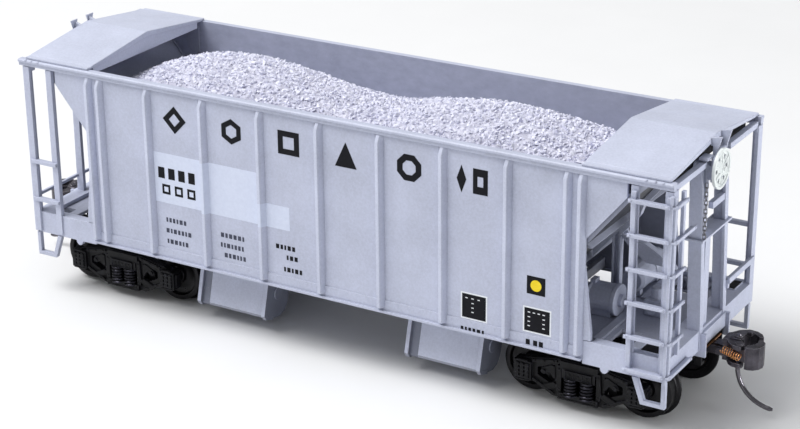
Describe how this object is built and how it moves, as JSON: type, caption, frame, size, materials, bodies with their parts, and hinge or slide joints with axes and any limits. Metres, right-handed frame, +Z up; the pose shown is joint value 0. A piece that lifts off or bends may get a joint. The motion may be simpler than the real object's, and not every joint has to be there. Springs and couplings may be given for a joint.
{
  "type": "model hopper car",
  "caption": "Small-scale open hopper car with ribbed sides, short end roofs, a gravel load, sprung-look trucks with metal wheelsets and knuckle couplers.",
  "frame": {"origin": "centre of the car in plan, at the lowest point of the wheel flanges", "axes": "+X along the car towards the end with the hand brake wheel, +Y across it, +Z up"},
  "size_m": [0.1462, 0.0378, 0.0467],
  "materials": {
    "body_paint": "painted polystyrene, satin light blue-grey",
    "roof_paint": "painted polystyrene, satin pale blue-grey",
    "gravel": "loose crushed-stone texture, dull",
    "truck_black": "black engineering plastic, low sheen",
    "wheel_metal": "turned metal, chemically blackened",
    "coupler_metal": "dark die-cast metal",
    "spring_bronze": "copper-coloured spring bronze",
    "weight_steel": "plain steel",
    "brake_plastic": "bare pale moulded plastic"
  },
  "bodies": {
    "car_body": {"side_panel_near": "body_paint", "side_panel_far": "body_paint", "slope_sheet_a": "body_paint", "slope_sheet_b": "body_paint", "centre_ridge": "body_paint", "end_frame_a": "body_paint", "end_frame_b": "body_paint", "underframe": "body_paint", "outlet_chute_a_near": "body_paint", "outlet_chute_a_far": "body_paint", "outlet_chute_b_near": "body_paint", "outlet_chute_b_far": "body_paint", "roof_end_a": "roof_paint", "roof_end_b": "roof_paint", "gravel_load": "gravel", "weight_plate_a": "weight_steel", "weight_plate_b": "weight_steel", "side_ladder_b_near": "body_paint", "side_ladder_a_far": "body_paint", "end_ladder_a": "body_paint", "end_ladder_b": "body_paint", "stirrup_a_near": "body_paint", "stirrup_a_far": "body_paint", "stirrup_b_near": "body_paint", "stirrup_b_far": "body_paint", "brake_platform": "body_paint", "brake_housing": "body_paint", "brake_chain": "body_paint", "brake_cylinder": "body_paint", "air_reservoir": "body_paint", "control_valve": "body_paint", "slope_brace_a": "body_paint", "slope_brace_b": "body_paint", "coupler_box_a": "truck_black", "coupler_box_b": "truck_black", "coupler_box_lid_a": "truck_black", "coupler_box_lid_b": "truck_black", "centring_spring_a": "spring_bronze", "centring_spring_b": "spring_bronze", "truck_screw_a": "weight_steel", "truck_screw_b": "weight_steel"},
    "truck_a": {"truck_frame_a": "truck_black"},
    "wheelset_a_outer": {"wheelset_a_outer": "wheel_metal"},
    "wheelset_a_inner": {"wheelset_a_inner": "wheel_metal"},
    "coupler_a": {"coupler_a": "coupler_metal", "trip_pin_a": "coupler_metal", "knuckle_spring_a": "spring_bronze"},
    "knuckle_a": {"knuckle_a": "coupler_metal"},
    "truck_b": {"truck_frame_b": "truck_black"},
    "wheelset_b_outer": {"wheelset_b_outer": "wheel_metal"},
    "wheelset_b_inner": {"wheelset_b_inner": "wheel_metal"},
    "coupler_b": {"coupler_b": "coupler_metal", "trip_pin_b": "coupler_metal", "knuckle_spring_b": "spring_bronze"},
    "knuckle_b": {"knuckle_b": "coupler_metal"},
    "brake_wheel": {"brake_wheel": "brake_plastic"}
  },
  "joints": [
    {"name": "truck_a_swivel", "type": "hinge", "parent": "car_body", "child": "truck_a", "pos_m": [-0.0455, 0, 0.00917], "axis": [0, 0, 1], "range_deg": [-8, 8]},
    {"name": "wheelset_a_outer_spin", "type": "hinge", "parent": "truck_a", "child": "wheelset_a_outer", "pos_m": [-0.0554, 0, 0.00537], "axis": [0, 1, 0], "continuous": true},
    {"name": "wheelset_a_inner_spin", "type": "hinge", "parent": "truck_a", "child": "wheelset_a_inner", "pos_m": [-0.0356, 0, 0.00537], "axis": [0, 1, 0], "continuous": true},
    {"name": "coupler_a_swing", "type": "hinge", "parent": "car_body", "child": "coupler_a", "pos_m": [-0.0545, 0, 0.01052], "axis": [0, 0, 1], "range_deg": [-8, 8]},
    {"name": "knuckle_a_open", "type": "hinge", "parent": "coupler_a", "child": "knuckle_a", "pos_m": [-0.0678, 0.002, 0.01052], "axis": [0, 0, -1], "range_deg": [0, 20]},
    {"name": "truck_b_swivel", "type": "hinge", "parent": "car_body", "child": "truck_b", "pos_m": [0.0455, 0, 0.00917], "axis": [0, 0, 1], "range_deg": [-8, 8]},
    {"name": "wheelset_b_outer_spin", "type": "hinge", "parent": "truck_b", "child": "wheelset_b_outer", "pos_m": [0.0554, 0, 0.00537], "axis": [0, 1, 0], "continuous": true},
    {"name": "wheelset_b_inner_spin", "type": "hinge", "parent": "truck_b", "child": "wheelset_b_inner", "pos_m": [0.0356, 0, 0.00537], "axis": [0, 1, 0], "continuous": true},
    {"name": "coupler_b_swing", "type": "hinge", "parent": "car_body", "child": "coupler_b", "pos_m": [0.0545, 0, 0.01052], "axis": [0, 0, 1], "range_deg": [-8, 8]},
    {"name": "knuckle_b_open", "type": "hinge", "parent": "coupler_b", "child": "knuckle_b", "pos_m": [0.0678, -0.002, 0.01052], "axis": [0, 0, -1], "range_deg": [0, 20]},
    {"name": "brake_wheel_turn", "type": "hinge", "parent": "car_body", "child": "brake_wheel", "pos_m": [0.06295, -0.00205, 0.04147], "axis": [1, 0, 0], "continuous": true}
  ]
}
